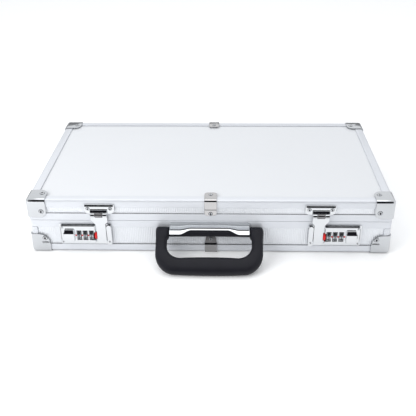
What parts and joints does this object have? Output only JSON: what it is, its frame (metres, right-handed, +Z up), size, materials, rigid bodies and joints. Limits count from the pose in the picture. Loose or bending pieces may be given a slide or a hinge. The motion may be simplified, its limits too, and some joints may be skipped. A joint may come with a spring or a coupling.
{
  "type": "poker chip case",
  "caption": "Flat aluminium-framed carrying case for poker chips, with a hinged lid, combination locks, steel corner protectors and a folding handle.",
  "frame": {"origin": "under the middle of the overall size of the closed case, handle and hinges included, on the surface it rests on", "axes": "+X along the width, to the right seen from the front; -Y towards the front, with handle and locks; +Z up"},
  "size_m": [0.3878, 0.2644, 0.0658],
  "materials": {
    "anodised_aluminium": "satin anodised extrusion",
    "ribbed_panel": "silver board with a finely ribbed face",
    "pale_panel": "matte pale laminate",
    "nickel_steel": "nickel-plated pressed steel",
    "chrome": "polished chrome plate",
    "black_plastic": "finely textured black moulding",
    "dial_plastic": "dark numbered wheel",
    "red_plastic": "red moulding",
    "tray_lining": "black flocked lining"
  },
  "bodies": {
    "base": {"base_bottom_panel": "ribbed_panel", "base_closure_frame": "anodised_aluminium", "base_corner_angle_front_left": "anodised_aluminium", "base_corner_angle_front_right": "anodised_aluminium", "base_corner_angle_rear_left": "anodised_aluminium", "base_corner_angle_rear_right": "anodised_aluminium", "base_edge_frame": "anodised_aluminium", "base_front_clip": "nickel_steel", "base_protector_front_left": "nickel_steel", "base_protector_front_right": "nickel_steel", "base_protector_rear_left": "nickel_steel", "base_protector_rear_right": "nickel_steel", "base_rear_clip": "nickel_steel", "base_side_wall": "ribbed_panel", "centre_tray": "tray_lining", "handle_bracket": "chrome", "left_chip_tray": "tray_lining", "left_dial_axle": "nickel_steel", "left_hinge_base_leaf": "nickel_steel", "left_hinge_pin": "nickel_steel", "left_lock_body": "chrome", "left_lock_cover": "nickel_steel", "right_chip_tray": "tray_lining", "right_dial_axle": "nickel_steel", "right_hinge_base_leaf": "nickel_steel", "right_hinge_pin": "nickel_steel", "right_lock_body": "chrome", "right_lock_cover": "nickel_steel"},
    "lid": {"left_hasp_keeper": "chrome", "left_hinge_lid_leaf": "nickel_steel", "lid_closure_frame": "anodised_aluminium", "lid_edge_frame": "anodised_aluminium", "lid_foam_pad": "tray_lining", "lid_front_clip": "nickel_steel", "lid_protector_front_left": "nickel_steel", "lid_protector_front_right": "nickel_steel", "lid_protector_rear_left": "nickel_steel", "lid_protector_rear_right": "nickel_steel", "lid_rear_clip": "nickel_steel", "lid_side_wall": "ribbed_panel", "lid_top_panel": "pale_panel", "right_hasp_keeper": "chrome", "right_hinge_lid_leaf": "nickel_steel"},
    "hasp_left": {"left_hasp": "chrome", "left_hasp_pin": "nickel_steel"},
    "hasp_right": {"right_hasp": "chrome", "right_hasp_pin": "nickel_steel"},
    "handle": {"handle_grip": "black_plastic", "handle_pin_left": "nickel_steel", "handle_pin_right": "nickel_steel"},
    "dial_left_1": {"left_dial_1": "dial_plastic"},
    "dial_left_2": {"left_dial_2": "dial_plastic"},
    "dial_left_3": {"left_dial_3": "dial_plastic"},
    "button_left": {"left_slide_button": "chrome"},
    "reset_left": {"left_reset_tab": "red_plastic"},
    "dial_right_1": {"right_dial_1": "dial_plastic"},
    "dial_right_2": {"right_dial_2": "dial_plastic"},
    "dial_right_3": {"right_dial_3": "dial_plastic"},
    "button_right": {"right_slide_button": "chrome"},
    "reset_right": {"right_reset_tab": "red_plastic"}
  },
  "joints": [
    {"name": "lid_hinge", "type": "hinge", "parent": "base", "child": "lid", "pos_m": [0, 0.12968, 0.0396], "axis": [-1, 0, 0], "range_deg": [0, 100]},
    {"name": "handle_swing", "type": "hinge", "parent": "base", "child": "handle", "pos_m": [0, -0.09082, 0.0287], "axis": [-1, 0, 0], "range_deg": [-50, 118]},
    {"name": "hasp_left_hinge", "type": "hinge", "parent": "lid", "child": "hasp_left", "pos_m": [-0.1165, -0.08782, 0.0484], "axis": [-1, 0, 0], "range_deg": [0, 110]},
    {"name": "dial_left_1_spin", "type": "hinge", "parent": "base", "child": "dial_left_1", "pos_m": [-0.1262, -0.08362, 0.0232], "axis": [1, 0, 0], "continuous": true},
    {"name": "dial_left_2_spin", "type": "hinge", "parent": "base", "child": "dial_left_2", "pos_m": [-0.1328, -0.08362, 0.0232], "axis": [1, 0, 0], "continuous": true},
    {"name": "dial_left_3_spin", "type": "hinge", "parent": "base", "child": "dial_left_3", "pos_m": [-0.1394, -0.08362, 0.0232], "axis": [1, 0, 0], "continuous": true},
    {"name": "button_left_slide", "type": "slide", "parent": "base", "child": "button_left", "axis": [-1, 0, 0], "range_m": [0, 0.0034]},
    {"name": "reset_left_slide", "type": "slide", "parent": "base", "child": "reset_left", "axis": [-1, 0, 0], "range_m": [0, 0.0006]},
    {"name": "hasp_right_hinge", "type": "hinge", "parent": "lid", "child": "hasp_right", "pos_m": [0.1165, -0.08782, 0.0484], "axis": [-1, 0, 0], "range_deg": [0, 110]},
    {"name": "dial_right_1_spin", "type": "hinge", "parent": "base", "child": "dial_right_1", "pos_m": [0.1262, -0.08362, 0.0232], "axis": [1, 0, 0], "continuous": true},
    {"name": "dial_right_2_spin", "type": "hinge", "parent": "base", "child": "dial_right_2", "pos_m": [0.1328, -0.08362, 0.0232], "axis": [1, 0, 0], "continuous": true},
    {"name": "dial_right_3_spin", "type": "hinge", "parent": "base", "child": "dial_right_3", "pos_m": [0.1394, -0.08362, 0.0232], "axis": [1, 0, 0], "continuous": true},
    {"name": "button_right_slide", "type": "slide", "parent": "base", "child": "button_right", "axis": [1, 0, 0], "range_m": [0, 0.0034]},
    {"name": "reset_right_slide", "type": "slide", "parent": "base", "child": "reset_right", "axis": [1, 0, 0], "range_m": [0, 0.0006]}
  ]
}
